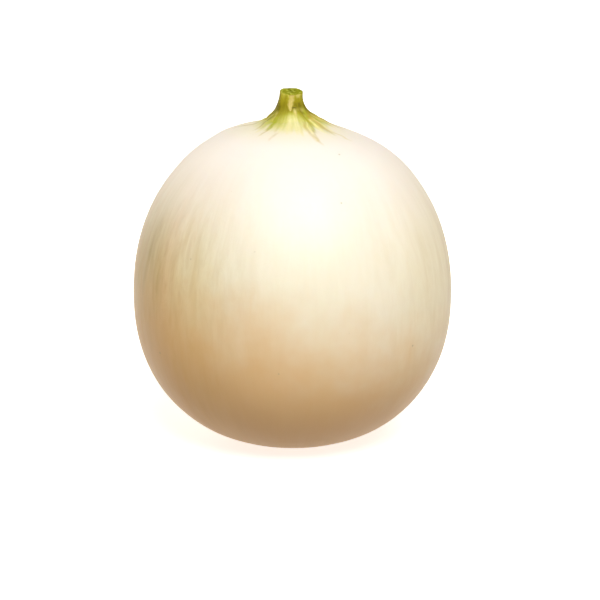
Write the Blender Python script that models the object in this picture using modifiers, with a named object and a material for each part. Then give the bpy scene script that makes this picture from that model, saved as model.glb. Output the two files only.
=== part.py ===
# Honeydew melon with its cut stem, standing on its blossom end.
# Metres, +Z up. The origin is on the surface it stands on, under the middle of the fruit.
# Both pieces are plain turned shapes at first, and one growth rule then bends them
# together, so that the stem's foot stays in its socket.
import math

import bmesh
import bpy
from mathutils import Vector, geometry

# Fruit
FRUIT_RADIUS = 0.0784  # at the equator
CROWN_RISE = 0.0847  # equator to crown, without the swelling round the stem
CROWN_FULLNESS = 2.12  # power of the upper half's superellipse; 2 would be a plain ellipse
BASE_DROP = 0.0771  # equator to blossom end, before the end is flattened
BASE_FULLNESS = 2.29
REST_RADIUS = 0.017  # flat spot that the melon stands on
SCAR_RADIUS = 0.006  # blossom scar, a shallow dimple in the flat spot
SCAR_DEPTH = 0.0007
SWELL_HEIGHT = 0.0077  # the skin sweeps up to the stem by height * exp(-radius / reach)
SWELL_REACH = 0.0068

# Stem
STEM_RISE = 0.0995  # equator to the cut end
FOOT_RADIUS = 0.013  # where the stem's foot meets the skin
NECK_RADIUS = 0.0051
NECK_HANDLE = 0.0082  # handle lengths of the curve from the neck down to the foot
FOOT_HANDLE = 0.0008
CUT_BEVEL = 0.0004
PITH_RADIUS = 0.0018  # soft middle of the cut end, a little sunken
PITH_FLOOR_RADIUS = 0.0011
PITH_DEPTH = 0.0006
SOCKET_WALL = 0.0022  # how deep the foot sits in the fruit, square to the skin
SOCKET_DISH = 0.0012
GAP = 0.0003  # clearance between the foot and its socket
FLOOR_GAP = 0.00036

# Growth: waves round the axis, as their number, height and phase
GIRTH_WAVES = (
    (10, 0.0002, 0.0),  # faint segments from stem to blossom end
    (2, 0.0003, 0.5),  # oval
    (3, 0.0003, 1.9),  # three-sided
)
RIB_WAVES = (
    (5, 0.5, 0.9),  # main ribs of the stem, as a share of their relief
    (10, 0.3, 0.4),  # a lesser one between each two
    (13, 0.2, 2.1),  # unevenness
)
RIB_RELIEF_FOOT = 0.00045
RIB_RELIEF_NECK = 0.00022
RIB_FADE_RISE = 0.0800  # the ribs run out on the skin at this height above the equator
RIB_NECK_RISE = 0.0950
SHOULDER_LIFT = 0.00095  # the shoulder stands higher towards -X
SHOULDER_REACH = 0.031
COLLAR_LIFT = 0.0009  # the skin close round the foot stands higher towards +X
COLLAR_REACH = 0.015
COLLAR_WIDTH = 0.005
STEM_BOW = 0.0006  # the stem bows towards -X and comes partly back at the cut
BOW_TURN = math.radians(135)
CUT_SLOPE_X = -math.tan(math.radians(5.5))
CUT_SLOPE_Y = math.tan(math.radians(4))

# Fineness
SEGMENTS = 72
UPPER_RINGS = 24
LOWER_RINGS = 19
RING_CROWDING = 1.3  # above 1 the upper rings stand closer near the stem
FLARE_RINGS = 12
MERGE_DISTANCE = 0.00001
SHARP_ANGLE = math.radians(40)

RIND = {"name": "cream rind", "colour": (0.87, 0.78, 0.56), "roughness": 0.42}
STEM_SKIN = {"name": "green stem skin", "colour": (0.36, 0.33, 0.05), "roughness": 0.55}


def dome(radius, half_height, fullness):
    """Height of the superellipse outline above, or below, the equator."""
    return half_height * (1 - (radius / FRUIT_RADIUS) ** fullness) ** (1 / fullness)


def angle_of(radius, fullness):
    """Angle from the pole at which the outline has this radius."""
    return math.asin((radius / FRUIT_RADIUS) ** (fullness / 2))


def outline_point(angle, half_height, fullness):
    power = 2 / fullness
    radius = FRUIT_RADIUS * math.sin(angle) ** power
    return radius, half_height * max(0.0, math.cos(angle)) ** power


EQUATOR = dome(REST_RADIUS, BASE_DROP, BASE_FULLNESS)


def skin_height(radius):
    """Height of the plain skin above the ground, on the upper half."""
    swell = SWELL_HEIGHT * math.exp(-radius / SWELL_REACH)
    return EQUATOR + dome(radius, CROWN_RISE, CROWN_FULLNESS) + swell


def down_the_skin():
    """Unit vector in (radius, height) that runs outwards down the skin at the foot."""
    step = 0.0001
    fall = skin_height(FOOT_RADIUS + step) - skin_height(FOOT_RADIUS - step)
    return Vector((2 * step, fall)).normalized()


DOWNHILL = down_the_skin()
INWARDS = Vector((DOWNHILL.y, -DOWNHILL.x))
SEAM = Vector((FOOT_RADIUS, skin_height(FOOT_RADIUS)))
SOCKET_EDGE = SEAM + INWARDS * SOCKET_WALL
SOCKET_FLOOR = SOCKET_EDGE.y - SOCKET_DISH
STEM_TOP = EQUATOR + STEM_RISE


def fruit_outline():
    """Socket, shoulder, flank, flat spot and blossom scar, from the top down."""
    points = [(0, SOCKET_FLOOR), tuple(SOCKET_EDGE), tuple(SEAM)]
    start = angle_of(FOOT_RADIUS, CROWN_FULLNESS)
    for ring in range(1, UPPER_RINGS):
        share = (ring / UPPER_RINGS) ** RING_CROWDING
        angle = start + (math.pi / 2 - start) * share
        radius = outline_point(angle, CROWN_RISE, CROWN_FULLNESS)[0]
        points.append((radius, skin_height(radius)))
    end = angle_of(REST_RADIUS, BASE_FULLNESS)
    for ring in range(LOWER_RINGS):
        angle = math.pi / 2 + (end - math.pi / 2) * ring / LOWER_RINGS
        radius, drop = outline_point(angle, BASE_DROP, BASE_FULLNESS)
        points.append((radius, EQUATOR - drop))
    points.append((REST_RADIUS, 0))
    points += [(SCAR_RADIUS + SCAR_DEPTH, 0), (SCAR_RADIUS, SCAR_DEPTH), (0, SCAR_DEPTH)]
    return points


def stem_outline():
    """Sunken pith, cut rim, neck, flare and the foot's underside, from the top down."""
    pith_floor = STEM_TOP - PITH_DEPTH
    neck = Vector((NECK_RADIUS, STEM_TOP - CUT_BEVEL))
    foot = SEAM - DOWNHILL * GAP
    points = [(0, pith_floor), (PITH_FLOOR_RADIUS, pith_floor), (PITH_RADIUS, STEM_TOP)]
    points.append((NECK_RADIUS - CUT_BEVEL, STEM_TOP))
    flare = geometry.interpolate_bezier(
        neck,
        neck - Vector((0, NECK_HANDLE)),
        foot - DOWNHILL * FOOT_HANDLE,
        foot,
        FLARE_RINGS,
    )
    points += [tuple(point) for point in flare]
    points.append(tuple(foot + INWARDS * (SOCKET_WALL - GAP)))
    points.append((0, SOCKET_FLOOR + FLOOR_GAP))
    return points


def eased(value):
    value = min(1.0, max(0.0, value))
    return value * value * (3 - 2 * value)


def relief(waves, turn):
    """Height of a group of waves in the direction of this turn about Z."""
    return sum(height * math.cos(count * turn + phase) for count, height, phase in waves)


def rib_relief(rise):
    """Height of the ribs, which die out down the shoulder."""
    foot_rise = SEAM.y - EQUATOR
    on_skin = eased((rise - RIB_FADE_RISE) / (foot_rise - RIB_FADE_RISE))
    on_stem = eased((rise - foot_rise) / (RIB_NECK_RISE - foot_rise))
    return on_skin * (RIB_RELIEF_FOOT + (RIB_RELIEF_NECK - RIB_RELIEF_FOOT) * on_stem)


def shoulder_lift(radius):
    """Lift of the crown on its +X side, which the -X side has the other way."""
    collar = COLLAR_LIFT * math.exp(-(((radius - COLLAR_REACH) / COLLAR_WIDTH) ** 2))
    reach = radius / SHOULDER_REACH
    return collar - SHOULDER_LIFT * (reach * math.exp(1 - reach)) ** 3


def grown(point):
    """Moves a point of the plain turned shapes to where growth puts it."""
    radius = math.hypot(point.x, point.y)
    turn = math.atan2(point.y, point.x)
    rise = point.z - EQUATOR
    stem_share = max(0.0, point.z - SEAM.y) / (STEM_TOP - SEAM.y)

    # ribs stand out sideways on the neck and upwards on the shoulder
    ribs = rib_relief(rise) * relief(RIB_WAVES, turn) * eased(radius / NECK_RADIUS)
    upright = eased((RIB_NECK_RISE - rise) / (RIB_NECK_RISE + EQUATOR - SEAM.y))
    girth = relief(GIRTH_WAVES, turn) * radius / FRUIT_RADIUS
    outwards = girth + ribs * (1 - upright)
    x = point.x + outwards * math.cos(turn)
    y = point.y + outwards * math.sin(turn)
    z = point.z + ribs * upright

    z += shoulder_lift(radius) * math.cos(turn) * eased(rise / CROWN_RISE)
    z += eased(stem_share) * (CUT_SLOPE_X * x + CUT_SLOPE_Y * y)
    x -= STEM_BOW * math.sin(BOW_TURN * stem_share)
    return Vector((x, y, z))


def skin(look):
    """Principled material of one colour."""
    material = bpy.data.materials.new(look["name"])
    material.use_nodes = True
    shader = material.node_tree.nodes["Principled BSDF"]
    shader.inputs["Base Color"].default_value = (*look["colour"], 1)
    shader.inputs["Roughness"].default_value = look["roughness"]
    shader.inputs["Metallic"].default_value = 0
    return material


def turned_and_grown(name, outline, look, collection):
    """Turns an outline about Z with a Screw, then lets growth shape it."""
    edges = [(index, index + 1) for index in range(len(outline) - 1)]
    mesh = bpy.data.meshes.new(name + " outline")
    mesh.from_pydata([(radius, 0, height) for radius, height in outline], edges, [])
    turning = bpy.data.objects.new(name + " outline", mesh)
    collection.objects.link(turning)
    screw = turning.modifiers.new("Turn", "SCREW")
    screw.steps = SEGMENTS
    screw.render_steps = SEGMENTS
    screw.use_merge_vertices = True
    screw.merge_threshold = MERGE_DISTANCE
    graph = bpy.context.evaluated_depsgraph_get()
    solid = bpy.data.meshes.new_from_object(turning.evaluated_get(graph))
    bpy.data.objects.remove(turning)

    shape = bmesh.new()
    shape.from_mesh(solid)
    bmesh.ops.remove_doubles(shape, verts=shape.verts, dist=MERGE_DISTANCE)
    for vertex in shape.verts:
        vertex.co = grown(vertex.co)
    shape.to_mesh(solid)
    shape.free()

    solid.name = name
    solid.materials.append(skin(look))
    solid.shade_smooth()
    solid.set_sharp_from_angle(angle=SHARP_ANGLE)
    piece = bpy.data.objects.new(name, solid)
    collection.objects.link(piece)
    return piece


def main():
    for old in list(bpy.data.objects):
        bpy.data.objects.remove(old)
    melon = bpy.data.collections.new("Honeydew melon")
    bpy.context.scene.collection.children.link(melon)
    turned_and_grown("fruit", fruit_outline(), RIND, melon)
    turned_and_grown("stem", stem_outline(), STEM_SKIN, melon)


main()
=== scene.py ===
# Honeydew melon with its cut stem, standing on its blossom end.
# One skin is drawn over both solids, gets its fine relief by formula, and is parted again
# into rind and stem at the foot of the stem, where the solids meet.
import math

import bmesh
import bpy
import numpy as np
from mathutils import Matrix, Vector, noise


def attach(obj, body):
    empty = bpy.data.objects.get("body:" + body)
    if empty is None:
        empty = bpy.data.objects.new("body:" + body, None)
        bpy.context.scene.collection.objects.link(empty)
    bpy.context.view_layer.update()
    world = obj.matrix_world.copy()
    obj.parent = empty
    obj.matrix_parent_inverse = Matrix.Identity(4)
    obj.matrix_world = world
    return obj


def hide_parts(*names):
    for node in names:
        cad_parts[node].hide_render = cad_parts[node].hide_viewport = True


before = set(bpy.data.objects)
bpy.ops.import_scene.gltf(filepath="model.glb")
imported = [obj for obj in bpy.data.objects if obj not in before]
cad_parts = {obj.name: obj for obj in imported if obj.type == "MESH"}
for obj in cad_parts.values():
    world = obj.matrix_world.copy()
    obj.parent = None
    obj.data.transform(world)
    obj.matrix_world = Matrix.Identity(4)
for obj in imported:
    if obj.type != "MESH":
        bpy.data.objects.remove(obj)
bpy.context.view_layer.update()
mm = 0.001
print("frame loaded")

# the plain skin over both solids
skinBuild = {
    "socketRadius": 14.0,  # mm; the socket lies wholly nearer the axis than this
    "socketAbove": 100.0,  # mm above the ground
    "undersideBelow": 162.5,  # mm; the hidden underside of the stem's foot
    "weld": 0.5,  # mm, across the hairline between the two solids
    "cutRadius": 5.7,  # mm, the stem's cut end with its rim
    "cutCentre": (-0.42, 0.0),  # mm, where the bowed stem's axis meets it
    "cutAbove": 172.0,
    "cutFacing": (0.4, 0.5),  # least Z of its normals, on the plain skin and on the rounded one
    "undersideFacing": 0.3,  # the underside's normals have less Z than this
    "rimCrease": 0.55,
    "joinAngle": 70,  # degrees; triangles are paired into four-sided faces up to this
    "levels": 2,  # of subdivision
    "crownRadius": 34.0,  # mm; finer mesh for the fan and the stem
}
rindGroup, skinGroup, cutGroup = 0, 1, 2


def plainSkin():
    skin = bmesh.new()
    skin.from_mesh(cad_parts["fruit"].data)
    bmesh.ops.remove_doubles(skin, verts=skin.verts, dist=0.01 * mm)
    socket = [
        face
        for face in skin.faces
        if all(
            vertex.co.xy.length < skinBuild["socketRadius"] * mm
            and vertex.co.z > skinBuild["socketAbove"] * mm
            for vertex in face.verts
        )
    ]
    bmesh.ops.delete(skin, geom=socket, context="FACES")
    for face in skin.faces:
        face.material_index = rindGroup
    fruitFaces = set(skin.faces)

    skin.from_mesh(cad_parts["stem"].data)
    skin.normal_update()
    hidden = []
    for face in skin.faces:
        if face in fruitFaces:
            continue
        middle = face.calc_center_median()
        spread = (middle.xy - Vector(skinBuild["cutCentre"]) * mm).length
        atCut = spread < skinBuild["cutRadius"] * mm and middle.z > skinBuild["cutAbove"] * mm
        onCut = atCut and face.normal.z > skinBuild["cutFacing"][0]
        face.material_index = cutGroup if onCut else skinGroup
        low = middle.z < skinBuild["undersideBelow"] * mm
        if low and face.normal.z < skinBuild["undersideFacing"]:
            hidden.append(face)
    bmesh.ops.delete(skin, geom=hidden, context="FACES")
    bmesh.ops.remove_doubles(skin, verts=skin.verts, dist=0.01 * mm)

    rims = [vertex for vertex in skin.verts if vertex.is_boundary]
    bmesh.ops.remove_doubles(skin, verts=rims, dist=skinBuild["weld"] * mm)
    bmesh.ops.join_triangles(
        skin,
        faces=skin.faces,
        cmp_materials=True,
        angle_face_threshold=math.radians(skinBuild["joinAngle"]),
        angle_shape_threshold=math.radians(skinBuild["joinAngle"]),
    )
    crease = skin.edges.layers.float.new("crease_edge")
    for edge in skin.edges:
        groups = {face.material_index for face in edge.link_faces}
        if groups == {skinGroup, cutGroup}:
            edge[crease] = skinBuild["rimCrease"]
    print("open edges after the weld:", sum(edge.is_boundary for edge in skin.edges))
    mesh = bpy.data.meshes.new("plain skin")
    skin.to_mesh(mesh)
    skin.free()
    return mesh


def roundedSkin(mesh):
    # subdivided all over, then once more round the crown, where the fan and the stem are
    body = bpy.data.objects.new("plain skin", mesh)
    bpy.context.scene.collection.objects.link(body)
    rounding = body.modifiers.new("Rounding", "SUBSURF")
    rounding.levels = skinBuild["levels"]
    rounding.render_levels = skinBuild["levels"]
    graph = bpy.context.evaluated_depsgraph_get()
    rounded = bpy.data.meshes.new_from_object(body.evaluated_get(graph))
    bpy.data.objects.remove(body)

    skin = bmesh.new()
    skin.from_mesh(rounded)
    crownFaces = {
        face
        for face in skin.faces
        if face.calc_center_median().xy.length < skinBuild["crownRadius"] * mm
        and face.calc_center_median().z > skinBuild["socketAbove"] * mm
    }
    # a list, so that the new faces come in the same order each run
    crownEdges = [edge for edge in skin.edges if not crownFaces.isdisjoint(edge.link_faces)]
    made = bmesh.ops.subdivide_edges(skin, edges=crownEdges, cuts=1, use_grid_fill=True)
    fresh = [item for item in made["geom_inner"] if isinstance(item, bmesh.types.BMVert)]
    bmesh.ops.smooth_vert(skin, verts=fresh, factor=0.5, use_axis_x=True, use_axis_y=True, use_axis_z=True)
    lowest = min(vertex.co.z for vertex in skin.verts)
    bmesh.ops.translate(skin, verts=skin.verts, vec=(0, 0, -lowest))
    skin.to_mesh(rounded)
    skin.free()
    print("rounded skin:", len(rounded.polygons), "faces, lifted by", round(-lowest / mm, 4), "mm")
    return rounded


# Fine relief and markings near the stem. A point's run is its radius less its height above the
# stem's foot, in mm: it grows down the neck, over the foot and out along the shoulder. Turns are
# in degrees round the axis, and the front of the melon is at -90.
crown = {
    "footHeight": 161.0,  # mm
    "topHeight": 175.6,
    "bow": 0.6,  # mm, the same as the solid stem's
    "bowTurn": 135,
    "frontTurn": -89,
    # stripes down from the stem: lowest and highest count, seed, and how much calmer in front
    "fineStripes": (22, 64, 3, 0.45),
    "coarseStripes": (9, 24, 5, 0.6),
    "calmWidth": 0.6,  # radians to each side of the front
    "fibreRelief": 0.055,  # mm, along the neck
    "footRelief": 0.09,
    "fibreMix": (0.6, 0.4),  # shares of the fine and of the coarse stripes
    "fibresEnd": (30.0, 18.0),  # run at which the skin is smooth again, and over how much of it
    "footStart": (-2.0, 12.0),  # run at which the neck turns into the foot, and over how much
    "fanEdge": 24.3,  # run at which the green gives way to cream
    "fanStripes": 1.8,  # mm by which each kind of stripe moves that edge
    "fanSide": (1.0, -20),  # mm further out at this turn
    "fanFront": (2.5, 0.45),  # mm further down in front, and radians wide
    "fanSoft": (15.0, 0.35),  # how soft the edge is, and how far it is moved outwards
    "halo": 0.40,  # share of faint yellow that reaches further out
    "haloEdge": 46.0,
    "haloSoft": 26.0,
    "ripeStart": -10.0,  # run at the cut, where the row of ripe colours starts
    "ripeLength": 34.0,
    "ripeStripes": (2.0, 1.2),  # mm by which coarse and fine stripes move along that row
    "apron": (0.36, 0.36),  # paler in front by this share of that row, and radians wide
    "apronRuns": (0.5, 6, 25, 16),  # run where it starts and where it ends, each with its softness
    "undulation": 0.16,  # mm, slow unevenness of the whole fruit
    "undulationScales": (26, 61),  # per metre, so about 38 and 16 mm long
    "undulationStart": (13, 14),  # run where it starts, and over how much
    "restSoft": (1, 12),  # mm above the ground where it starts, and over how much
    "cutGrit": ((0.05, 1500), (0.04, 3400)),  # mm high, and per metre
    "neckReach": 8.0,  # mm from the axis; above the foot only the neck is as near
    "neckRadius": 5.1,
    "rimSwell": (0.36, 175.4, 3.4),  # mm, how far, where and over what height the stem widens
    "rimAbove": (165, 3),  # mm, height where that starts, and over how much
    "endAbove": (170, 4),  # mm, the same for the slope of the cut end
    "cutDrop": (0.90, 1.0, 6.5),  # mm lower in front, from this y on, and over how much
    "cutLift": (0.44, -3.5, 6.0),  # mm higher to the right, from this x on, and over how much
    # swellings of the skin: height in mm, run, width, and the turn they face or None
    "swells": (
        (0.95, 9.5, 4.4, None),
        (0.25, -2.0, 5.0, 180),
        (-0.58, 22.0, 5.6, 180),
        (0.38, 16.5, 2.6, 180),
        (0.40, 15.0, 4.0, None),
        (0.55, 62.0, 17.0, None),
        (0.45, 42.0, 7.0, 180),
        (0.45, 80.0, 14.0, 0),
    ),
}

fanTones = ("green", "olive", "brown", "bright", "tan")

# one row a streak: tone, strength, half width and relief in mm, and its way as turns and runs
streaks = (
    # outline on the left: partly the stem's streaks, partly painted shade along the outline
    (
        "olive", 0.75, 0.9, -0.08,
        ((-160, -4), (-150, 2), (-158, 5), (-167, 8), (-175, 11), (-181, 16), (-182, 22)),
    ),
    ("brown", 0.7, 0.7, -0.05, ((-169, 8), (-178, 13), (-184, 17), (-185, 22), (-183, 32))),
    ("brown", 0.4, 0.7, -0.03, ((-187, 16), (-184, 24), (-181, 36))),
    ("olive", 0.4, 1.6, -0.02, ((-174, 9), (-178, 15), (-180, 20), (-180, 34))),
    ("olive", 0.5, 1.2, 0.0, ((-174, -6), (-171, 0), (-174, 7))),
    # left of the front
    ("tan", 0.5, 0.5, 0.04, ((-150, 5), (-156, 9), (-163, 11.5), (-173, 15), (-177, 20))),
    (
        "olive", 0.6, 0.85, -0.04,
        ((-143, 4), (-144, 8), (-149, 10), (-154, 12), (-153, 15.5), (-149, 18), (-146, 21), (-144, 28)),
    ),
    ("bright", 0.5, 0.5, 0.04, ((-166, 12), (-172, 16), (-174, 21))),
    ("olive", 0.75, 0.6, -0.05, ((-143, -2), (-142, 2.5), (-141.5, 5.5), (-143, 8))),
    ("tan", 0.5, 0.5, 0.03, ((-139, 6), (-140.5, 10), (-140.5, 14))),
    ("green", 0.5, 1.5, 0.0, ((-146, 8), (-143, 14), (-141, 18), (-140, 25))),
    ("bright", 0.45, 0.55, 0.04, ((-138, 16), (-137.5, 20), (-136, 30))),
    ("green", 1.0, 1.35, 0.12, ((-134, 6), (-132, 12), (-130, 15), (-128.5, 18), (-129.5, 21), (-129, 25))),
    ("brown", 0.5, 0.6, -0.03, ((-129, 19), (-127, 25), (-126, 29), (-128, 33))),
    ("green", 0.3, 0.8, -0.02, ((-117, 11), (-115.5, 15), (-114, 20), (-113, 26))),
    ("brown", 0.28, 0.8, 0.0, ((-108, 23), (-111.5, 29), (-112, 37))),
    # front
    ("green", 0.2, 0.6, 0.04, ((-104, 10), (-104, 23))),
    ("bright", 0.15, 0.5, 0.03, ((-98, 8), (-97, 25))),
    ("green", 0.15, 0.5, -0.03, ((-91, 9), (-90, 24))),
    ("bright", 0.15, 0.5, 0.03, ((-84, 6), (-85, 26))),
    ("green", 0.2, 0.5, -0.03, ((-76, 8), (-77, 27))),
    ("tan", 0.5, 0.6, 0.05, ((-78, 2), (-77.5, 4.5), (-77, 8))),
    # right of the front
    # pale band under the cut rim on the right: painted light on the lit side of the neck
    ("bright", 0.45, 1.5, 0.0, ((-52, -11), (-50, -6))),
    ("olive", 0.35, 1.0, -0.03, ((-69, -4), (-67, -1), (-64, 3))),
    ("olive", 0.6, 1.2, -0.05, ((-50, -4.5), (-48, -1), (-43, 4))),
    ("olive", 0.5, 0.6, -0.04, ((-6, -9), (-6, 0), (-10, 5))),
    ("olive", 0.5, 0.7, -0.06, ((-52, 0), (-49, 5), (-50, 9))),
    ("green", 0.85, 1.2, 0.06, ((-38, -1), (-42, 4), (-47, 8), (-50, 12.5))),
    ("brown", 0.5, 0.8, -0.03, ((-65, 12), (-68.5, 17.5), (-68, 21.5), (-67, 25), (-67, 29), (-67.5, 36))),
    ("brown", 0.4, 0.8, -0.02, ((-66, 26), (-64.5, 31), (-64, 36), (-63.5, 42))),
    ("brown", 0.35, 0.6, -0.03, ((-60, 20), (-61.5, 26), (-63, 30), (-64, 36))),
    ("tan", 0.45, 1.3, 0.0, ((-66, 25), (-65.5, 31), (-65, 38))),
    ("bright", 0.7, 0.5, 0.06, ((-59, 11), (-62, 16), (-64, 18), (-64, 22), (-63, 26), (-62, 30))),
    ("brown", 0.5, 0.6, -0.04, ((-51, 9.5), (-52, 14), (-55, 18.5))),
    ("green", 0.6, 1.2, 0.05, ((-51, 12), (-54, 17), (-57.5, 20), (-59, 23), (-58, 27))),
    ("bright", 1.0, 0.65, 0.14, ((-46, 9.5), (-45.7, 14), (-45, 22))),
    ("bright", 0.4, 0.75, 0.05, ((-45, 14), (-45, 23), (-44, 32))),
    ("green", 0.45, 1.6, 0.0, ((-40.5, 11), (-40, 18), (-40.5, 24), (-41, 30))),
    ("green", 0.3, 0.9, -0.02, ((-38, 18), (-37, 25), (-38, 33))),
    ("tan", 0.45, 1.5, 0.0, ((-41, 8), (-36, 14), (-38, 20), (-39, 28))),
    (
        "brown", 0.85, 1.05, -0.04,
        ((-42, 4), (-38, 9.5), (-36, 12.5), (-37, 17), (-37.5, 20), (-37, 24), (-38, 33)),
    ),
    ("tan", 0.5, 0.8, 0.0, ((-35, 24), (-32, 30), (-30, 33), (-31, 37), (-30, 42))),
    ("green", 0.8, 0.4, 0.0, ((-30, 7), (-30, 10.5), (-29, 13))),
    ("bright", 0.75, 0.7, 0.06, ((-33, 9), (-34, 14), (-32, 17.5), (-31, 21.5), (-30, 30))),
    ("brown", 0.7, 0.7, -0.05, ((-19, 2.5), (-23, 8), (-25, 12))),
    ("tan", 0.7, 0.8, 0.05, ((-19, 5), (-23, 9), (-17, 12), (-18, 14), (-18, 18.5))),
    ("green", 0.4, 0.9, -0.03, ((-18, 14), (-16, 19), (-10, 25))),
    # outline on the right: partly the stem's streaks, partly painted shade along the outline
    ("olive", 0.85, 0.8, -0.08, ((-22, -4), (-14, 3), (-14, 9.5), (-10, 14), (-8, 20))),
    ("brown", 0.8, 0.8, -0.06, ((-15, 4), (-14.8, 9.5), (-11, 12.5), (-7, 16), (-6, 24), (-4, 32))),
    ("olive", 0.45, 0.7, -0.04, ((-8, 12), (-6, 19), (1, 24), (9, 36))),
)

# how a streak runs, as shares of its length
streakShape = {
    "narrowing": 0.2,
    "start": 0.18,
    "end": 0.35,
    "darkEnd": 0.6,  # dark ones fade earlier and run out in tan
    "tailStart": 0.4,
    "tailSoft": 0.3,
    "tail": 0.6,
    "reliefEnd": 0.7,
    "waver": (0.008, 0.75),  # radians, and per mm of run
}

# more of the same kind round the unseen back, drawn by lot
backStreaks = {
    "count": 34,
    "turns": (12, 172),
    "starts": (3, 15),
    "lengths": (9, 22),
    "halfWidths": (0.3, 1.0),
    "strengths": (0.3, 0.75),
    "bends": (3, 8),  # degrees, halfway and at the end
    "relief": 0.08,
    "tones": ("green", "green", "olive", "brown", "bright", "green"),
    "seed": 7,
}

# a dry strip on the front of the neck, with a torn notch and a pale nub at its lower end
stripScar = {
    # its way as turns, runs and half widths in mm
    "way": (
        (-86.6, -8.2, 1.15),
        (-87.4, -6.5, 1.25),
        (-91.5, -4.0, 1.35),
        (-93.5, -2.5, 1.20),
        (-94.4, -0.8, 1.05),
        (-94.0, 0.4, 0.70),
        (-93.5, 1.9, 0.35),
    ),
    "ragged": (0.12, 2.1),  # share of its width, and per mm of run
    "depth": 0.20,
    "lip": 0.08,
    "lipPlace": (1.25, 0.22),  # in half widths from its middle, and how wide
    "notch": (-79.0, -0.4, 1.5, 0.5, 0.25),  # turn, run, half width, half length and depth in mm
    "notchArch": 0.8,
    "nub": (-77.8, 2.7, 0.65, 1.8, 0.50),  # turn, run, half width, half length, height
}


def eased(value):
    value = np.clip(value, 0, 1)
    return value * value * (3 - 2 * value)


def across(turn, radius, target):
    # distance in mm from the line at the target turn, along the surface
    return radius * ((turn - target + math.pi) % (2 * math.pi) - math.pi)


def towardsFront(turn, width):
    # 1 at the front and less away from it, with the width in radians
    return np.exp(-((across(turn, 1.0, math.radians(crown["frontTurn"])) / width) ** 2))


def stripes(turn, run, kind, front):
    # uneven stripes down from the stem: waves round the axis that drift a little on their way
    lowest, highest, seed, calm = crown[kind]
    chance = np.random.default_rng(seed)
    counts = np.arange(lowest, highest, max(1, (highest - lowest) // 14))
    total = np.zeros_like(turn)
    for count in counts:
        phase, drift = chance.uniform(0, 2 * math.pi), chance.uniform(-0.07, 0.07)
        total += chance.uniform(0.5, 1) * np.cos(count * turn + phase + drift * run)
    return total / math.sqrt(len(counts) / 2) * (1 - calm * front)


def allStreaks():
    chance = np.random.default_rng(backStreaks["seed"])
    halfway, atEnd = backStreaks["bends"]
    tones = backStreaks["tones"]
    rows = list(streaks)
    for number in range(backStreaks["count"]):
        start = chance.uniform(*backStreaks["turns"])
        run = chance.uniform(*backStreaks["starts"])
        length = chance.uniform(*backStreaks["lengths"])
        tone = tones[number % len(tones)]
        thin = 0.5 if tone == "brown" else 1.0
        width = chance.uniform(*backStreaks["halfWidths"]) * thin
        relief = backStreaks["relief"] if tone in ("green", "bright") else -backStreaks["relief"]
        bend, end = start + chance.uniform(-halfway, halfway), start + chance.uniform(-atEnd, atEnd)
        way = ((start, run), (bend, run + 0.4 * length), (end, run + length))
        rows.append((tone, chance.uniform(*backStreaks["strengths"]), width, 0.7 * relief, way))
    return rows


def addStreaks(turn, radius, run, upper, masks, height):
    shape = streakShape
    swing, pace = shape["waver"]
    for tone, strength, halfWidth, relief, way in allStreaks():
        turns, runs = zip(*way)
        share = (run - runs[0]) / (runs[-1] - runs[0])
        line = np.radians(np.interp(run, runs, turns)) + swing * np.sin(run * pace + turns[0])
        width = halfWidth * (1 - shape["narrowing"] * np.clip(share, 0, 1) ** 2)
        profile = np.exp(-np.abs(across(turn, radius, line) / width) ** 3)
        body = profile * eased(share / shape["start"]) * upper * strength
        end = shape["darkEnd"] if relief < 0 else shape["end"]
        masks[tone] = np.maximum(masks[tone], body * eased((1 - share) / end))
        if relief < 0:
            soft = shape["tailSoft"]
            tail = body * eased((share - shape["tailStart"]) / soft) * eased((1 - share) / soft)
            masks["tan"] = np.maximum(masks["tan"], shape["tail"] * tail)
        height += relief * body / strength * eased((1 - share) / shape["reliefEnd"])


def addStrip(turn, radius, run, onCut, masks, height):
    turns, runs, widths = zip(*stripScar["way"])
    share = (run - runs[0]) / (runs[-1] - runs[0])
    ragged, pace = stripScar["ragged"]
    width = np.interp(run, runs, widths) * (1 + ragged * np.sin(run * pace))
    offset = across(turn, radius, np.radians(np.interp(run, runs, turns))) / width
    strip = np.exp(-np.abs(offset) ** 4) * eased((share + 0.08) / 0.08)
    strip = strip * eased((1.05 - share) / 0.08) * (1 - onCut)
    lipPlace, lipWidth = stripScar["lipPlace"]
    lips = np.exp(-((np.abs(offset) - lipPlace) / lipWidth) ** 2)
    lips = lips * eased((share + 0.06) / 0.1) * eased((1.05 - share) / 0.1)
    height += (stripScar["lip"] * lips - stripScar["depth"] * strip) * (1 - onCut)
    masks["tan"] = np.maximum(masks["tan"], strip)
    for tone in ("olive", "green", "brown"):
        masks[tone] *= 1 - strip

    notchTurn, notchRun, notchWidth, notchLength, notchDepth = stripScar["notch"]
    sideways = across(turn, radius, math.radians(notchTurn)) / notchWidth
    down = (run - notchRun - stripScar["notchArch"] * sideways**2) / notchLength
    notch = np.exp(-((sideways**2 + down**2) ** 2))
    height -= notchDepth * notch
    masks["olive"] = np.maximum(masks["olive"], 0.95 * notch)
    nubTurn, nubRun, nubWidth, nubLength, nubHeight = stripScar["nub"]
    sideways = across(turn, radius, math.radians(nubTurn)) / nubWidth
    nub = np.exp(-(sideways**2 + ((run - nubRun) / nubLength) ** 2))
    height += nubHeight * nub
    masks["bright"] = np.maximum(masks["bright"], nub * 1.1)


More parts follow.
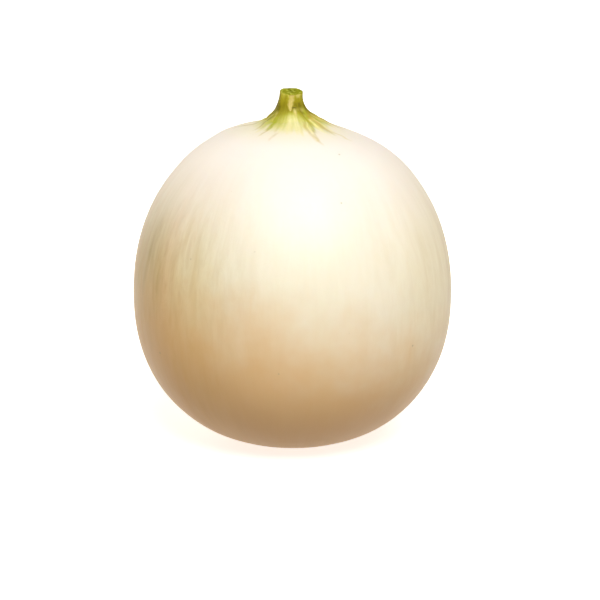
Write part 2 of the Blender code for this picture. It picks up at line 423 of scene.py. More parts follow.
def trimmedEnd(points, radius, x, y, z):
    # widens the neck's top, and gives the cut end its slope
    swell, middle, reach = crown["rimSwell"]
    onNeck = radius < crown["neckReach"]
    start, soft = crown["rimAbove"]
    wider = swell / crown["neckRadius"] * np.exp(-(((middle - z) / reach) ** 2))
    points[:, :2] *= (1 + wider * eased((z - start) / soft) * onNeck)[:, None]
    start, soft = crown["endAbove"]
    nearCut = eased((z - start) / soft) * onNeck
    drop, start, soft = crown["cutDrop"]
    points[:, 2] -= drop * mm * eased((start - y) / soft) * nearCut
    lift, start, soft = crown["cutLift"]
    points[:, 2] += lift * mm * eased((x - start) / soft) * nearCut


def detailedSkin(mesh):
    count = len(mesh.vertices)
    points = np.empty(count * 3)
    mesh.vertices.foreach_get("co", points)
    points = points.reshape(-1, 3)
    normals = np.empty(count * 3)
    mesh.vertex_normals.foreach_get("vector", normals)
    normals = normals.reshape(-1, 3)

    x, y, z = points.T / mm
    stemShare = np.clip((z - crown["footHeight"]) / (crown["topHeight"] - crown["footHeight"]), 0, 1)
    bowed = x + crown["bow"] * np.sin(math.radians(crown["bowTurn"]) * stemShare)
    radius = np.hypot(bowed, y)
    turn = np.arctan2(y, bowed)
    upper = z > skinBuild["socketAbove"]
    run = np.where(upper, radius - (z - crown["footHeight"]), 999.0)
    onCut = (radius < skinBuild["cutRadius"]) & (z > skinBuild["cutAbove"])
    onCut &= normals[:, 2] > skinBuild["cutFacing"][1]

    # fibres of the stem, which fan out over the shoulder
    front = towardsFront(turn, crown["calmWidth"]) * eased((run + 1) / 6)
    fine = stripes(turn, run, "fineStripes", front)
    coarse = stripes(turn, run, "coarseStripes", front)
    fibresEnd, soft = crown["fibresEnd"]
    fade = eased((fibresEnd - run) / soft)
    footStart, soft = crown["footStart"]
    onFoot = eased((run - footStart) / soft)
    relief = crown["fibreRelief"] * (1 - onFoot) + crown["footRelief"] * onFoot
    ofFine, ofCoarse = crown["fibreMix"]
    height = relief * fade * (ofFine * fine + ofCoarse * coarse)

    # green fan: full at the neck, streaky at its edge
    further, sideTurn = crown["fanSide"]
    edge = crown["fanEdge"] + crown["fanStripes"] * coarse + crown["fanStripes"] * fine
    edge += further * np.cos(turn - math.radians(sideTurn))
    further, frontWidth = crown["fanFront"]
    edge += further * towardsFront(turn, frontWidth)
    soft, outwards = crown["fanSoft"]
    fan = eased((edge - run) / soft + outwards)
    halo = crown["halo"] * eased((crown["haloEdge"] - run) / crown["haloSoft"])
    fan = np.maximum(fan, halo)
    paler, apronWidth = crown["apron"]
    start, startSoft, end, endSoft = crown["apronRuns"]
    apron = towardsFront(turn, apronWidth) * eased((run - start) / startSoft) * eased((end - run) / endSoft)
    byCoarse, byFine = crown["ripeStripes"]
    uneven = (byCoarse * coarse + byFine * fine) * (0.3 + 0.7 * onFoot)
    ripe = np.clip((run - crown["ripeStart"] + uneven) / crown["ripeLength"] + paler * apron, 0, 1)

    for swell, middle, reach, facing in crown["swells"]:
        share = 1.0 if facing is None else eased(0.2 + 0.8 * np.cos(turn - math.radians(facing)))
        height += swell * np.exp(-(((run - middle) / reach) ** 2)) * share

    masks = {tone: np.zeros(count) for tone in fanTones}
    addStreaks(turn, radius, run, upper, masks, height)
    addStrip(turn, radius, run, onCut, masks, height)

    # slow unevenness of the fruit, always inwards, and none where it rests
    long, short = crown["undulationScales"]
    spots = [Vector(point) for point in points]
    slow = np.array([noise.noise(spot * long) + 0.5 * noise.noise(spot * short) for spot in spots])
    start, soft = crown["restSoft"]
    resting = eased((z - start) / soft)
    start, soft = crown["undulationStart"]
    height -= crown["undulation"] * eased(0.5 + 0.7 * slow) * resting * eased((run - start) / soft)

    # torn fibres of the cut end
    for row in np.nonzero(onCut)[0]:
        for high, scale in crown["cutGrit"]:
            height[row] += high * noise.noise(spots[row] * scale)

    points += normals * (height * mm)[:, None]
    trimmedEnd(points, radius, x, y, z)
    mesh.vertices.foreach_set("co", points.ravel())
    for name, values in {"fan": fan, "ripe": ripe, **masks}.items():
        mesh.attributes.new(name, "FLOAT", "POINT").data.foreach_set("value", np.clip(values, 0, 1))
    grain = np.stack((np.cos(turn), np.sin(turn), np.clip(run, -20, 80) / 25), axis=1)
    mesh.attributes.new("grain", "FLOAT_VECTOR", "POINT").data.foreach_set("vector", grain.ravel())
    mesh.update()
    print("relief from", round(float(height.min()), 3), "to", round(float(height.max()), 3), "mm")
    return mesh


def parted(mesh, name, groups, wallIn, wallDown):
    # keeps the faces of these groups and closes them with a hidden wall and floor
    piece = bmesh.new()
    piece.from_mesh(mesh)
    others = [face for face in piece.faces if face.material_index not in groups]
    bmesh.ops.delete(piece, geom=others, context="FACES")
    rim = [edge for edge in piece.edges if edge.is_boundary]
    for edge in rim:
        edge.smooth = False
    wall = bmesh.ops.extrude_edge_only(piece, edges=rim)["geom"]
    low = [item for item in wall if isinstance(item, bmesh.types.BMVert)]
    for vertex in low:
        vertex.co.x *= wallIn
        vertex.co.y *= wallIn
    bmesh.ops.translate(piece, verts=low, vec=(0, 0, -wallDown * mm))
    floorRim = [item for item in wall if isinstance(item, bmesh.types.BMEdge) and item.is_boundary]
    cap = bmesh.ops.extrude_edge_only(piece, edges=floorRim)["geom"]
    middle = [item for item in cap if isinstance(item, bmesh.types.BMVert)]
    centre = sum((vertex.co for vertex in middle), Vector()) / len(middle)
    bmesh.ops.pointmerge(piece, verts=middle, merge_co=centre)
    for face in piece.faces:
        face.material_index = groups.index(face.material_index)
        face.smooth = True
    bmesh.ops.recalc_face_normals(piece, faces=piece.faces)
    triangles = sum(len(face.verts) - 2 for face in piece.faces)
    openEdges = sum(edge.is_boundary for edge in piece.edges)
    print(name, "triangles:", triangles, "open edges:", openEdges)
    made = bpy.data.meshes.new(name)
    piece.to_mesh(made)
    piece.free()
    body = bpy.data.objects.new(name, made)
    bpy.context.scene.collection.objects.link(body)
    return body


def linear(hexColour):
    channels = [int(hexColour[place : place + 2], 16) / 255 for place in (1, 3, 5)]
    return tuple(c / 12.92 if c <= 0.04045 else ((c + 0.055) / 1.055) ** 2.4 for c in channels) + (1.0,)


def add(tree, kind, settings=None, links=None):
    # one node with its settings and its inputs, which are values or other nodes' outputs
    made = tree.nodes.new(kind)
    for name, value in (settings or {}).items():
        if name == "stops":
            ramp = made.color_ramp.elements
            while len(ramp) < len(value):
                ramp.new(0.5)
            for element, (position, colour) in zip(ramp, value):
                element.position = position
                element.color = linear(colour) if isinstance(colour, str) else (colour, colour, colour, 1)
        else:
            setattr(made, name, value)
    for name, value in (links or {}).items():
        if isinstance(value, bpy.types.NodeSocket):
            tree.links.new(value, made.inputs[name])
        else:
            made.inputs[name].default_value = value
    return made


# settings that several nodes share
smoothly = {"interpolation_type": "SMOOTHSTEP"}
mixColours = {"data_type": "RGBA"}
multiplyColours = {"data_type": "RGBA", "blend_type": "MULTIPLY"}
multiply = {"operation": "MULTIPLY"}
multiplyAdd = {"operation": "MULTIPLY_ADD"}


def newMaterial(name):
    material = bpy.data.materials.new(name)
    material.use_nodes = True
    tree = material.node_tree
    return material, tree, tree.nodes["Principled BSDF"]


fanLook = {
    # from the cut rim down the neck and out to where the green ends
    "ripe": (
        (0.0, "#cdc856"),
        (0.05, "#b5af30"),
        (0.12, "#a39b1b"),
        (0.25, "#8f860f"),
        (0.37, "#968f20"),
        (0.49, "#a39e2e"),
        (0.60, "#b2b148"),
        (0.72, "#c2c062"),
        (0.85, "#d7d386"),
        (1.0, "#e9e3ac"),
    ),
    "green": "#a6ab30",
    "olive": "#59520c",
    "brown": "#b49a3a",
    "bright": "#efe596",
    "tan": "#d8c777",
    "fibreScale": 9.0,  # fibres about 0.6 mm wide on the neck
}


def fanColour(tree, beneath):
    # colours of the stem and of its fan over the colour beneath, the same on both pieces
    fibreWay = add(tree, "ShaderNodeAttribute", {"attribute_name": "grain"}).outputs["Vector"]
    fibres = add(
        tree,
        "ShaderNodeTexNoise",
        {"noise_dimensions": "3D"},
        {
            "Vector": fibreWay,
            "Scale": fanLook["fibreScale"],
            "Detail": 4.0,
            "Roughness": 0.6,
            "Distortion": 0.2,
        },
    ).outputs["Fac"]
    ripe = add(tree, "ShaderNodeAttribute", {"attribute_name": "ripe"}).outputs["Fac"]
    # the fibres show more on the foot than at the top of the neck
    swing = add(
        tree,
        "ShaderNodeMapRange",
        {},
        {"Value": ripe, "From Min": 0.1, "From Max": 0.45, "To Min": 0.06, "To Max": 0.17},
    ).outputs["Result"]
    centred = add(tree, "ShaderNodeMath", {"operation": "SUBTRACT"}, {0: fibres, 1: 0.5}).outputs[0]
    place = add(
        tree,
        "ShaderNodeMath",
        {"operation": "MULTIPLY_ADD", "use_clamp": True},
        {0: centred, 1: swing, 2: ripe},
    ).outputs[0]
    ramp = add(tree, "ShaderNodeValToRGB", {"stops": fanLook["ripe"]}, {"Fac": place}).outputs["Color"]
    amount = add(tree, "ShaderNodeAttribute", {"attribute_name": "fan"}).outputs["Fac"]
    colour = add(tree, "ShaderNodeMix", mixColours, {0: amount, 6: beneath, 7: ramp}).outputs[2]
    for tone in fanTones:
        mask = add(tree, "ShaderNodeAttribute", {"attribute_name": tone}).outputs["Fac"]
        broken = add(
            tree,
            "ShaderNodeMapRange",
            {"clamp": True},
            {"Value": fibres, "From Min": 0.3, "From Max": 0.6, "To Min": 0.55, "To Max": 1.0},
        ).outputs["Result"]
        strength = add(tree, "ShaderNodeMath", multiply, {0: mask, 1: broken}).outputs[0]
        colour = add(
            tree, "ShaderNodeMix", mixColours, {0: strength, 6: colour, 7: linear(fanLook[tone])}
        ).outputs[2]
    return colour, fibres


rindLook = {
    "crown": "#f4eee7",
    "cream": "#f2ecd7",
    "pale": "#f3efdd",
    "moss": "#e9e3c8",
    "pink": "#f0e3c9",
    "tan": "#ebe1c2",
    # painted shade round the fruit, from -X to +X: darker and more tan towards -X and at both ends, where
    # the light falls off
    "flankShade": (
        (0.0, "#e2d2b0"),
        (0.035, "#d8d0a6"),
        (0.07, "#ebdfbb"),
        (0.10, "#fbebce"),
        (0.145, "#fef6dc"),
        (0.21, "#fffdea"),
        (0.34, "#fffffb"),
        (0.62, "#fcfbf7"),
        (0.78, "#ffffff"),
        (0.975, "#fcf8e9"),
        (1.0, "#e6dcc0"),
    ),
    # ground spot where the fruit lay, with painted warm reflection and shade low down, stronger in front
    "ground": "#e3b876",
    "groundTilt": 0.28,  # the warm tone reaches higher towards -X
    "groundEdge": -0.045,  # m, the X beyond which it rises no further
    "groundShare": (0.80, 0.42),  # in front and behind
    "speck": "#9a9572",
    "cork": "#b08d5c",
    # patterns: width and length in mm, detail, roughness and bend
    "streaks": (3.8, 38.0, 3.0, 0.55, 0.7),
    "bands": (12.2, 134.0, 2.0, 0.5, 0.0),
    "blotches": (6.0, 24.0, 6.0, 0.68, 0.5),
    "blotch": "#dcd0b8",
    # how much of them shows round the fruit, from -X to +X
    "marked": ((0.0, 1.0), (0.20, 1.0), (0.32, 0.55), (0.46, 0.22), (0.68, 0.28), (0.82, 0.45), (1.0, 0.5)),
    "blotched": (
        (0.0, 0.6),
        (0.15, 0.6),
        (0.24, 0.4),
        (0.34, 0.22),
        (0.46, 0.08),
        (0.70, 0.08),
        (0.85, 0.2),
        (1.0, 0.25),
    ),
    # lighter, plainer colour of the front: painted light
    "front": "#f8f6e6",
    "equatorRadius": 78.0,  # mm
    "roughness": 0.45,
    "roughnessSwing": (-0.05, 0.06),
    "ior": 1.46,  # plant wax
    "subsurface": 0.12,
    "subsurfaceColours": (1.0, 0.6, 0.3),
    "subsurfaceDepth": 0.004,  # m
    "poreScale": 900.0,  # about 1 mm
    "dimpleScale": 240.0,  # about 4 mm
}


def rindMaterial():
    # honeydew rind: smooth skin under a thin coat of natural wax, which gives a broad soft shine
    material, tree, shader = newMaterial("waxy honeydew rind")
    place = add(tree, "ShaderNodeTexCoord").outputs["Object"]
    flat = add(tree, "ShaderNodeVectorMath", multiply, {0: place, 1: (1, 1, 0)}).outputs[0]
    around = add(tree, "ShaderNodeVectorMath", {"operation": "NORMALIZE"}, {0: flat}).outputs[0]

    # growth streaks from stem to blossom end, and blotches drawn out the same way
    patterns = []
    for kind in ("streaks", "bands", "blotches"):
        width, length, detail, roughness, bend = rindLook[kind]
        drawnOut = (0, 0, width / length / (rindLook["equatorRadius"] * mm))
        rise = add(tree, "ShaderNodeVectorMath", multiply, {0: place, 1: drawnOut}).outputs[0]
        meridian = add(tree, "ShaderNodeVectorMath", {"operation": "ADD"}, {0: around, 1: rise}).outputs[0]
        pattern = add(
            tree,
            "ShaderNodeTexNoise",
            {},
            {
                "Vector": meridian,
                "Scale": rindLook["equatorRadius"] / width,
                "Detail": detail,
                "Roughness": roughness,
                "Distortion": bend,
            },
        )
        patterns.append(pattern.outputs["Fac"])
    streaky, broad, blotchy = patterns
    patches = add(
        tree, "ShaderNodeTexNoise", {}, {"Vector": place, "Scale": 38.0, "Detail": 3.0, "Roughness": 0.55}
    ).outputs["Fac"]
    streakTone = add(
        tree,
        "ShaderNodeValToRGB",
        {
            "stops": (
                (0.30, rindLook["moss"]),
                (0.44, rindLook["cream"]),
                (0.52, rindLook["pale"]),
                (0.60, rindLook["cream"]),
                (0.72, rindLook["pink"]),
            ),
        },
        {"Fac": streaky},
    ).outputs["Color"]
    broadTone = add(
        tree,
        "ShaderNodeValToRGB",
        {"stops": ((0.34, rindLook["tan"]), (0.50, rindLook["cream"]), (0.64, rindLook["pale"]))},
        {"Fac": broad},
    ).outputs["Color"]
    # some places are plain, others more streaked
    clear = add(
        tree,
        "ShaderNodeMapRange",
        smoothly,
        {"Value": patches, "From Min": 0.38, "From Max": 0.62, "To Min": 0.35, "To Max": 1.0},
    ).outputs["Result"]
    colour = add(tree, "ShaderNodeMix", mixColours, {0: clear, 6: streakTone, 7: broadTone}).outputs[2]
    # painted light: the front, where the front light falls, is lighter and plainer than the sides, and the
    # -X side is blotched
    sideways = add(tree, "ShaderNodeSeparateXYZ", {}, {0: around}).outputs["X"]
    sideways = add(
        tree, "ShaderNodeMapRange", {}, {"Value": sideways, "From Min": -1.0, "From Max": 1.0}
    ).outputs["Result"]
    marked = add(
        tree, "ShaderNodeValToRGB", {"stops": rindLook["marked"]}, {"Fac": sideways}
    ).outputs["Color"]
    colour = add(
        tree, "ShaderNodeMix", mixColours, {0: marked, 6: linear(rindLook["front"]), 7: colour}
    ).outputs[2]
    blotch = add(
        tree, "ShaderNodeMapRange", smoothly, {"Value": blotchy, "From Min": 0.30, "From Max": 0.72}
    ).outputs["Result"]
    share = add(
        tree, "ShaderNodeValToRGB", {"stops": rindLook["blotched"]}, {"Fac": sideways}
    ).outputs["Color"]
    blotch = add(tree, "ShaderNodeMath", multiply, {0: blotch, 1: share}).outputs[0]
    colour = add(
        tree, "ShaderNodeMix", multiplyColours, {0: blotch, 6: colour, 7: linear(rindLook["blotch"])}
    ).outputs[2]
    # the streaks fade towards the crown, where they would crowd together
    axes = add(tree, "ShaderNodeSeparateXYZ", {}, {0: place}).outputs
    height = axes["Z"]
    calm = add(
        tree, "ShaderNodeMapRange", smoothly, {"Value": height, "From Min": 0.095, "From Max": 0.155}
    ).outputs["Result"]
    colour = add(
        tree, "ShaderNodeMix", mixColours, {0: calm, 6: colour, 7: linear(rindLook["crown"])}
    ).outputs[2]

    # painted shade: the sides turn darker and more tan, most towards -X, in bands that run from stem to
    # blossom end
    wavering = add(tree, "ShaderNodeMath", multiplyAdd, {0: broad, 1: 0.09, 2: -0.045}).outputs[0]
    sideways = add(
        tree, "ShaderNodeMath", {"operation": "ADD", "use_clamp": True}, {0: sideways, 1: wavering}
    ).outputs[0]
    flankShade = add(
        tree, "ShaderNodeValToRGB", {"stops": rindLook["flankShade"]}, {"Fac": sideways}
    ).outputs["Color"]
    lower = add(
        tree, "ShaderNodeMapRange", smoothly, {"Value": height, "From Min": 0.152, "From Max": 0.080}
    ).outputs["Result"]
    colour = add(tree, "ShaderNodeMix", multiplyColours, {0: lower, 6: colour, 7: flankShade}).outputs[2]

    # warmer and darker low down: partly the ground spot where the fruit lay, partly painted warm reflection
    # and shade, stronger in front than behind
    uneven = add(tree, "ShaderNodeMath", multiplyAdd, {0: patches, 1: 0.05, 2: -0.025}).outputs[0]
    unevenHeight = add(tree, "ShaderNodeMath", {"operation": "ADD"}, {0: height, 1: uneven}).outputs[0]
    fromLeft = add(
        tree, "ShaderNodeMath", {"operation": "MAXIMUM"}, {0: axes["X"], 1: rindLook["groundEdge"]}
    ).outputs[0]
    inFront, behind = rindLook["groundShare"]
    groundShare = add(
        tree,
        "ShaderNodeMapRange",
        smoothly,
        {"Value": axes["Y"], "From Min": -0.01, "From Max": 0.06, "To Min": inFront, "To Max": behind},
    ).outputs["Result"]
    unevenHeight = add(
        tree, "ShaderNodeMath", multiplyAdd, {0: fromLeft, 1: rindLook["groundTilt"], 2: unevenHeight}
    ).outputs[0]
    lowDown = add(
        tree,
        "ShaderNodeMapRange",
        smoothly,
        {"Value": unevenHeight, "From Min": 0.106, "From Max": 0.035, "To Max": groundShare},
    ).outputs["Result"]
    colour = add(
        tree, "ShaderNodeMix", mixColours, {0: lowDown, 6: colour, 7: linear(rindLook["ground"])}
    ).outputs[2]

    # a few tiny specks, 0.6 to 1 mm
    cells = add(
        tree, "ShaderNodeTexVoronoi", {"feature": "F1"}, {"Vector": place, "Scale": 62.0, "Randomness": 1.0}
    )
    speck = add(
        tree,
        "ShaderNodeMapRange",
        smoothly,
        {"Value": cells.outputs["Distance"], "From Min": 0.045, "From Max": 0.02},
    ).outputs["Result"]
    speck = add(tree, "ShaderNodeMath", multiply, {0: speck, 1: 0.4}).outputs[0]
    colour = add(
        tree, "ShaderNodeMix", mixColours, {0: speck, 6: colour, 7: linear(rindLook["speck"])}
    ).outputs[2]

    # corky blossom scar underneath
    spread = add(tree, "ShaderNodeVectorMath", {"operation": "LENGTH"}, {0: flat}).outputs["Value"]
    low = add(tree, "ShaderNodeMath", {"operation": "LESS_THAN"}, {0: height, 1: 0.02}).outputs[0]
    scar = add(
        tree,
        "ShaderNodeMapRange",
        smoothly,
        {"Value": spread, "From Min": 0.0085, "From Max": 0.0062, "To Max": 0.85},
    ).outputs["Result"]
    scar = add(tree, "ShaderNodeMath", multiply, {0: scar, 1: low}).outputs[0]
    colour = add(
        tree, "ShaderNodeMix", mixColours, {0: scar, 6: colour, 7: linear(rindLook["cork"])}
    ).outputs[2]

    colour = fanColour(tree, colour)[0]
    tree.links.new(colour, shader.inputs["Base Color"])

    # wax lies unevenly: a slightly duller and a slightly brighter shine in streaks
    shineRange = [rindLook["roughness"] + swing for swing in rindLook["roughnessSwing"]]
    dullness = add(
        tree,
        "ShaderNodeMapRange",
        {},
        {
            "Value": streaky,
            "From Min": 0.3,
            "From Max": 0.7,
            "To Min": shineRange[0],
            "To Max": shineRange[1],
        },
    ).outputs["Result"]
    tree.links.new(dullness, shader.inputs["Roughness"])
    pores = add(
        tree,
        "ShaderNodeTexNoise",
        {},
        {"Vector": place, "Scale": rindLook["poreScale"], "Detail": 2.0, "Roughness": 0.5},
    ).outputs["Fac"]
    dimples = add(
        tree,
        "ShaderNodeTexNoise",
        {},
        {"Vector": place, "Scale": rindLook["dimpleScale"], "Detail": 2.0, "Roughness": 0.5},
    ).outputs["Fac"]
    fineBump = add(
        tree, "ShaderNodeBump", {}, {"Height": pores, "Strength": 0.10, "Distance": 0.0003}
    ).outputs["Normal"]
    bump = add(
        tree,
        "ShaderNodeBump",
        {},
        {"Height": dimples, "Strength": 0.12, "Distance": 0.0006, "Normal": fineBump},
    ).outputs["Normal"]
    tree.links.new(bump, shader.inputs["Normal"])
    shader.inputs["IOR"].default_value = rindLook["ior"]
    shader.inputs["Metallic"].default_value = 0
    shader.inputs["Subsurface Weight"].default_value = rindLook["subsurface"]
    shader.inputs["Subsurface Radius"].default_value = rindLook["subsurfaceColours"]
    shader.inputs["Subsurface Scale"].default_value = rindLook["subsurfaceDepth"]
    return material


stemLook = {
    "roughness": 0.62,
    "roughnessSwing": (-0.08, 0.1),
    "ior": 1.42,
    "specular": 0.2,  # dry fibre shines less than its IOR alone would give
    "subsurface": 0.1,
    "subsurfaceColours": (0.7, 1.0, 0.3),
    "subsurfaceDepth": 0.0015,  # m
    "beneath": "#b0a832",
}


def stemMaterial():
    # fresh melon stem: fibrous green skin that dulls to olive as it dries, with a dry tan strip; its olive
    # lines along the outline are partly painted shade
    material, tree, shader = newMaterial("green melon stem skin")
    colour, fibres = fanColour(tree, linear(stemLook["beneath"]))
    tree.links.new(colour, shader.inputs["Base Color"])
    bump = add(
        tree, "ShaderNodeBump", {}, {"Height": fibres, "Strength": 0.35, "Distance": 0.0003}
    ).outputs["Normal"]
    tree.links.new(bump, shader.inputs["Normal"])
    shineRange = [stemLook["roughness"] + swing for swing in stemLook["roughnessSwing"]]
    dullness = add(
        tree,
        "ShaderNodeMapRange",
        {},
        {
            "Value": fibres,
            "From Min": 0.3,
            "From Max": 0.7,
            "To Min": shineRange[0],
            "To Max": shineRange[1],
        },
    ).outputs["Result"]
    tree.links.new(dullness, shader.inputs["Roughness"])
    shader.inputs["IOR"].default_value = stemLook["ior"]
    shader.inputs["Specular IOR Level"].default_value = stemLook["specular"]
    shader.inputs["Metallic"].default_value = 0
    shader.inputs["Subsurface Weight"].default_value = stemLook["subsurface"]
    shader.inputs["Subsurface Radius"].default_value = stemLook["subsurfaceColours"]
    shader.inputs["Subsurface Scale"].default_value = stemLook["subsurfaceDepth"]
    return material


cutLook = {
    "rings": (
        (0.0, "#6a6f0c"),
        (0.30, "#787c0e"),
        (0.52, "#8a8d18"),
        (0.70, "#7f8310"),
        (0.86, "#888b18"),
        (1.0, "#96962a"),
    ),
    "vessel": "#c3c25c",
    "patch": "#b9bd4e",
    "radius": 5.5,  # mm
    "roughness": 0.8,
    "specular": 0.15,
    "ior": 1.4,
    "gritScale": 1300.0,  # about 0.8 mm
    "patchScale": 520.0,  # about 2 mm
    "vesselScale": 750.0,  # about 1.3 mm apart, coarser than real ones so that they show
}


def cutMaterial():
    # cut stem: moist wood fibre with a softer pith, so it is dull and darker towards the middle
    material, tree, shader = newMaterial("cut end of the stem")
    place = add(tree, "ShaderNodeTexCoord").outputs["Object"]
    centred = add(
        tree,
        "ShaderNodeMapping",
        {},
        {"Vector": place, "Location": (-skinBuild["cutCentre"][0] * mm, -skinBuild["cutCentre"][1] * mm, 0)},
    ).outputs[0]
    flat = add(tree, "ShaderNodeVectorMath", multiply, {0: centred, 1: (1, 1, 0)}).outputs[0]
    spread = add(tree, "ShaderNodeVectorMath", {"operation": "LENGTH"}, {0: flat}).outputs["Value"]
    grit = add(
        tree,
        "ShaderNodeTexNoise",
        {},
        {"Vector": place, "Scale": cutLook["gritScale"], "Detail": 3.0, "Roughness": 0.6},
    ).outputs["Fac"]
    share = add(
        tree,
        "ShaderNodeMapRange",
        {},
        {"Value": spread, "From Min": 0.0, "From Max": cutLook["radius"] * mm},
    ).outputs["Result"]
    uneven = add(tree, "ShaderNodeMath", multiplyAdd, {0: grit, 1: 0.8, 2: -0.4}).outputs[0]
    ringPlace = add(
        tree, "ShaderNodeMath", {"operation": "ADD", "use_clamp": True}, {0: share, 1: uneven}
    ).outputs[0]
    colour = add(
        tree, "ShaderNodeValToRGB", {"stops": cutLook["rings"]}, {"Fac": ringPlace}
    ).outputs["Color"]
    coarse = add(
        tree,
        "ShaderNodeTexNoise",
        {},
        {"Vector": place, "Scale": cutLook["patchScale"], "Detail": 2.0, "Roughness": 0.6},
    ).outputs["Fac"]
    patch = add(
        tree,
        "ShaderNodeMapRange",
        smoothly,
        {"Value": coarse, "From Min": 0.48, "From Max": 0.62, "To Max": 0.65},
    ).outputs["Result"]
    colour = add(
        tree, "ShaderNodeMix", mixColours, {0: patch, 6: colour, 7: linear(cutLook["patch"])}
    ).outputs[2]
    bundles = add(
        tree,
        "ShaderNodeTexVoronoi",
        {"feature": "F1"},
        {"Vector": flat, "Scale": cutLook["vesselScale"], "Randomness": 0.8},
    ).outputs["Distance"]
    vessel = add(
        tree,
        "ShaderNodeMapRange",
        smoothly,
        {"Value": bundles, "From Min": 0.30, "From Max": 0.12, "To Max": 0.24},
    ).outputs["Result"]
    colour = add(
        tree, "ShaderNodeMix", mixColours, {0: vessel, 6: colour, 7: linear(cutLook["vessel"])}
    ).outputs[2]
    tree.links.new(colour, shader.inputs["Base Color"])
    bump = add(
        tree, "ShaderNodeBump", {}, {"Height": grit, "Strength": 0.4, "Distance": 0.0004}
    ).outputs["Normal"]
    tree.links.new(bump, shader.inputs["Normal"])
    shader.inputs["Roughness"].default_value = cutLook["roughness"]
    shader.inputs["Specular IOR Level"].default_value = cutLook["specular"]
    shader.inputs["IOR"].default_value = cutLook["ior"]
    shader.inputs["Metallic"].default_value = 0
    return material


# hidden wall where the pieces part: how much narrower at its foot, and mm deep
hiddenWall = {
    "rind": (0.985, 2.2),
    "stem": (0.965, 1.9),
}

skinMesh = detailedSkin(roundedSkin(plainSkin()))
rind = parted(skinMesh, "melon_rind", [rindGroup], *hiddenWall["rind"])
rind.data.materials.append(rindMaterial())
stem = parted(skinMesh, "melon_stem", [skinGroup, cutGroup], *hiddenWall["stem"])
stem.data.materials.append(stemMaterial())
stem.data.materials.append(cutMaterial())
for piece, node, slot in ((rind, "fruit", "rind"), (stem, "stem", "stem")):
    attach(piece, "root")
    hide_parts(node)
print("pieces made")

# floor, light and camera
studio = {
    "floor": "#f2f2f2",
    "floorGlow": (0.70, 1.1),  # near the melon, where its shadow falls, and from 1 m outwards
    # softboxes: name, place in m, size, power and colour
    "softboxes": (
        ("front softbox", (0.26, -1.15, 1.36), 1.2, 30.5, "#ffffff"),  # above, a little to the right
        ("back softbox", (-0.88, 0.85, 0.60), 0.9, 3.3, "#fff8ec"),  # behind on the left
    ),
    "above": ("#fff0d8", 0.32),
    "below": ("#ffd8a0", 0.32),
    "behind": ("#fff6ea", 1.55),  # low down behind, so it doesn't light the crown's outline
    "cameraElevation": 14.0,
    "cameraDistance": 1.192,
    "cameraAim": (0.00368, 0.0, 0.0705),
    "cameraLens": 144.0,
}


def makeFloor():
    sheet = bmesh.new()
    bmesh.ops.create_grid(sheet, x_segments=2, y_segments=2, size=4.0)
    mesh = bpy.data.meshes.new("floor")
    sheet.to_mesh(mesh)
    sheet.free()
    floor = bpy.data.objects.new("floor", mesh)
    bpy.context.scene.collection.objects.link(floor)
    material, tree, shader = newMaterial("white paper sweep")
    shader.inputs["Base Color"].default_value = linear(studio["floor"])
    shader.inputs["Roughness"].default_value = 0.9
    shader.inputs["Emission Color"].default_value = (1, 1, 1, 1)
    place = add(tree, "ShaderNodeTexCoord").outputs["Object"]
    away = add(tree, "ShaderNodeVectorMath", {"operation": "LENGTH"}, {0: place}).outputs["Value"]
    near, far = studio["floorGlow"]
    glow = add(
        tree,
        "ShaderNodeMapRange",
        {},
        {"Value": away, "From Min": 0.3, "From Max": 1.0, "To Min": near, "To Max": far},
    )
    tree.links.new(glow.outputs["Result"], shader.inputs["Emission Strength"])
    # seen from below it is clear, so that the melon's underside shows
    behind = add(tree, "ShaderNodeNewGeometry").outputs["Backfacing"]
    clear = add(tree, "ShaderNodeBsdfTransparent").outputs[0]
    both = add(tree, "ShaderNodeMixShader", {}, {0: behind, 1: shader.outputs[0], 2: clear}).outputs[0]
    tree.links.new(both, tree.nodes["Material Output"].inputs["Surface"])
    mesh.materials.append(material)
    floor.visible_diffuse = False
    floor.visible_shadow = False


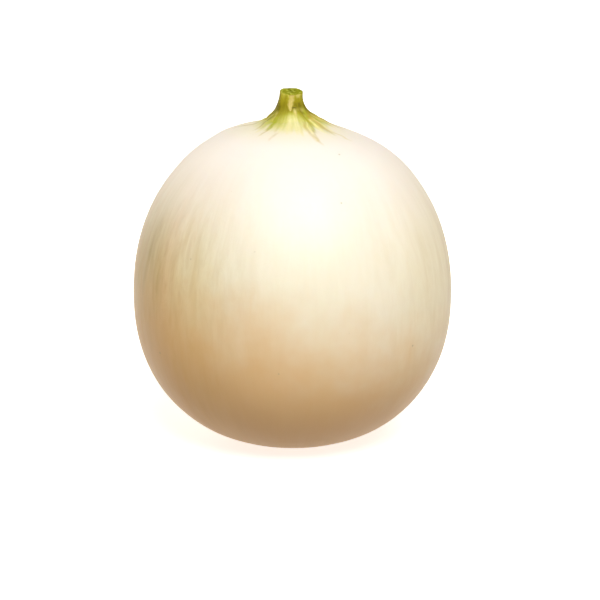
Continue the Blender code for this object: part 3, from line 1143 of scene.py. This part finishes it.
def makeLight():
    for name, place, size, power, colour in studio["softboxes"]:
        light = bpy.data.lights.new(name, "AREA")
        light.shape = "DISK"
        light.size = size
        light.energy = power
        light.color = linear(colour)[:3]
        softbox = bpy.data.objects.new(name, light)
        softbox.location = place
        towards = Vector((0, 0, 0.08)) - softbox.location
        softbox.rotation_euler = towards.to_track_quat("-Z", "Y").to_euler()
        bpy.context.scene.collection.objects.link(softbox)

    world = bpy.data.worlds.new("studio")
    bpy.context.scene.world = world
    world.use_nodes = True
    tree = world.node_tree
    tree.nodes.clear()
    place = add(tree, "ShaderNodeTexCoord").outputs["Generated"]
    axes = add(tree, "ShaderNodeSeparateXYZ", {}, {0: place}).outputs
    height = axes["Z"]
    share = add(
        tree, "ShaderNodeMapRange", smoothly, {"Value": height, "From Min": -0.4, "From Max": 0.4}
    ).outputs["Result"]
    below, belowPower = studio["below"]
    above, abovePower = studio["above"]
    lowTone = add(
        tree, "ShaderNodeBackground", {}, {"Color": linear(below), "Strength": belowPower}
    ).outputs[0]
    highTone = add(
        tree, "ShaderNodeBackground", {}, {"Color": linear(above), "Strength": abovePower}
    ).outputs[0]
    glow = add(tree, "ShaderNodeMixShader", {}, {0: share, 1: lowTone, 2: highTone}).outputs[0]
    depth = add(
        tree, "ShaderNodeMapRange", smoothly, {"Value": axes["Y"], "From Min": 0.45, "From Max": 0.95}
    ).outputs["Result"]
    low = add(
        tree, "ShaderNodeMapRange", smoothly, {"Value": height, "From Min": 0.4, "From Max": -0.1}
    ).outputs["Result"]
    depth = add(tree, "ShaderNodeMath", multiply, {0: depth, 1: low}).outputs[0]
    behind, behindPower = studio["behind"]
    backTone = add(
        tree, "ShaderNodeBackground", {}, {"Color": linear(behind), "Strength": behindPower}
    ).outputs[0]
    glow = add(tree, "ShaderNodeMixShader", {}, {0: depth, 1: glow, 2: backTone}).outputs[0]
    seen = add(tree, "ShaderNodeBackground", {}, {"Color": (1, 1, 1, 1), "Strength": 1.0}).outputs[0]
    isSeen = add(tree, "ShaderNodeLightPath").outputs["Is Camera Ray"]
    both = add(tree, "ShaderNodeMixShader", {}, {0: isSeen, 1: glow, 2: seen}).outputs[0]
    add(tree, "ShaderNodeOutputWorld", {}, {"Surface": both})


def makeCamera():
    elevation = math.radians(studio["cameraElevation"])
    back = Vector((0, -math.cos(elevation), math.sin(elevation)))
    lens = bpy.data.cameras.new("camera")
    lens.lens = studio["cameraLens"]
    lens.sensor_width = 36
    lens.clip_start = 0.01
    lens.clip_end = 100
    camera = bpy.data.objects.new("camera", lens)
    camera.location = Vector(studio["cameraAim"]) + back * studio["cameraDistance"]
    camera.rotation_euler = (math.pi / 2 - elevation, 0, 0)
    bpy.context.scene.collection.objects.link(camera)
    bpy.context.scene.camera = camera


makeFloor()
makeLight()
makeCamera()
bpy.context.scene.view_settings.view_transform = "Standard"
print("studio ready")
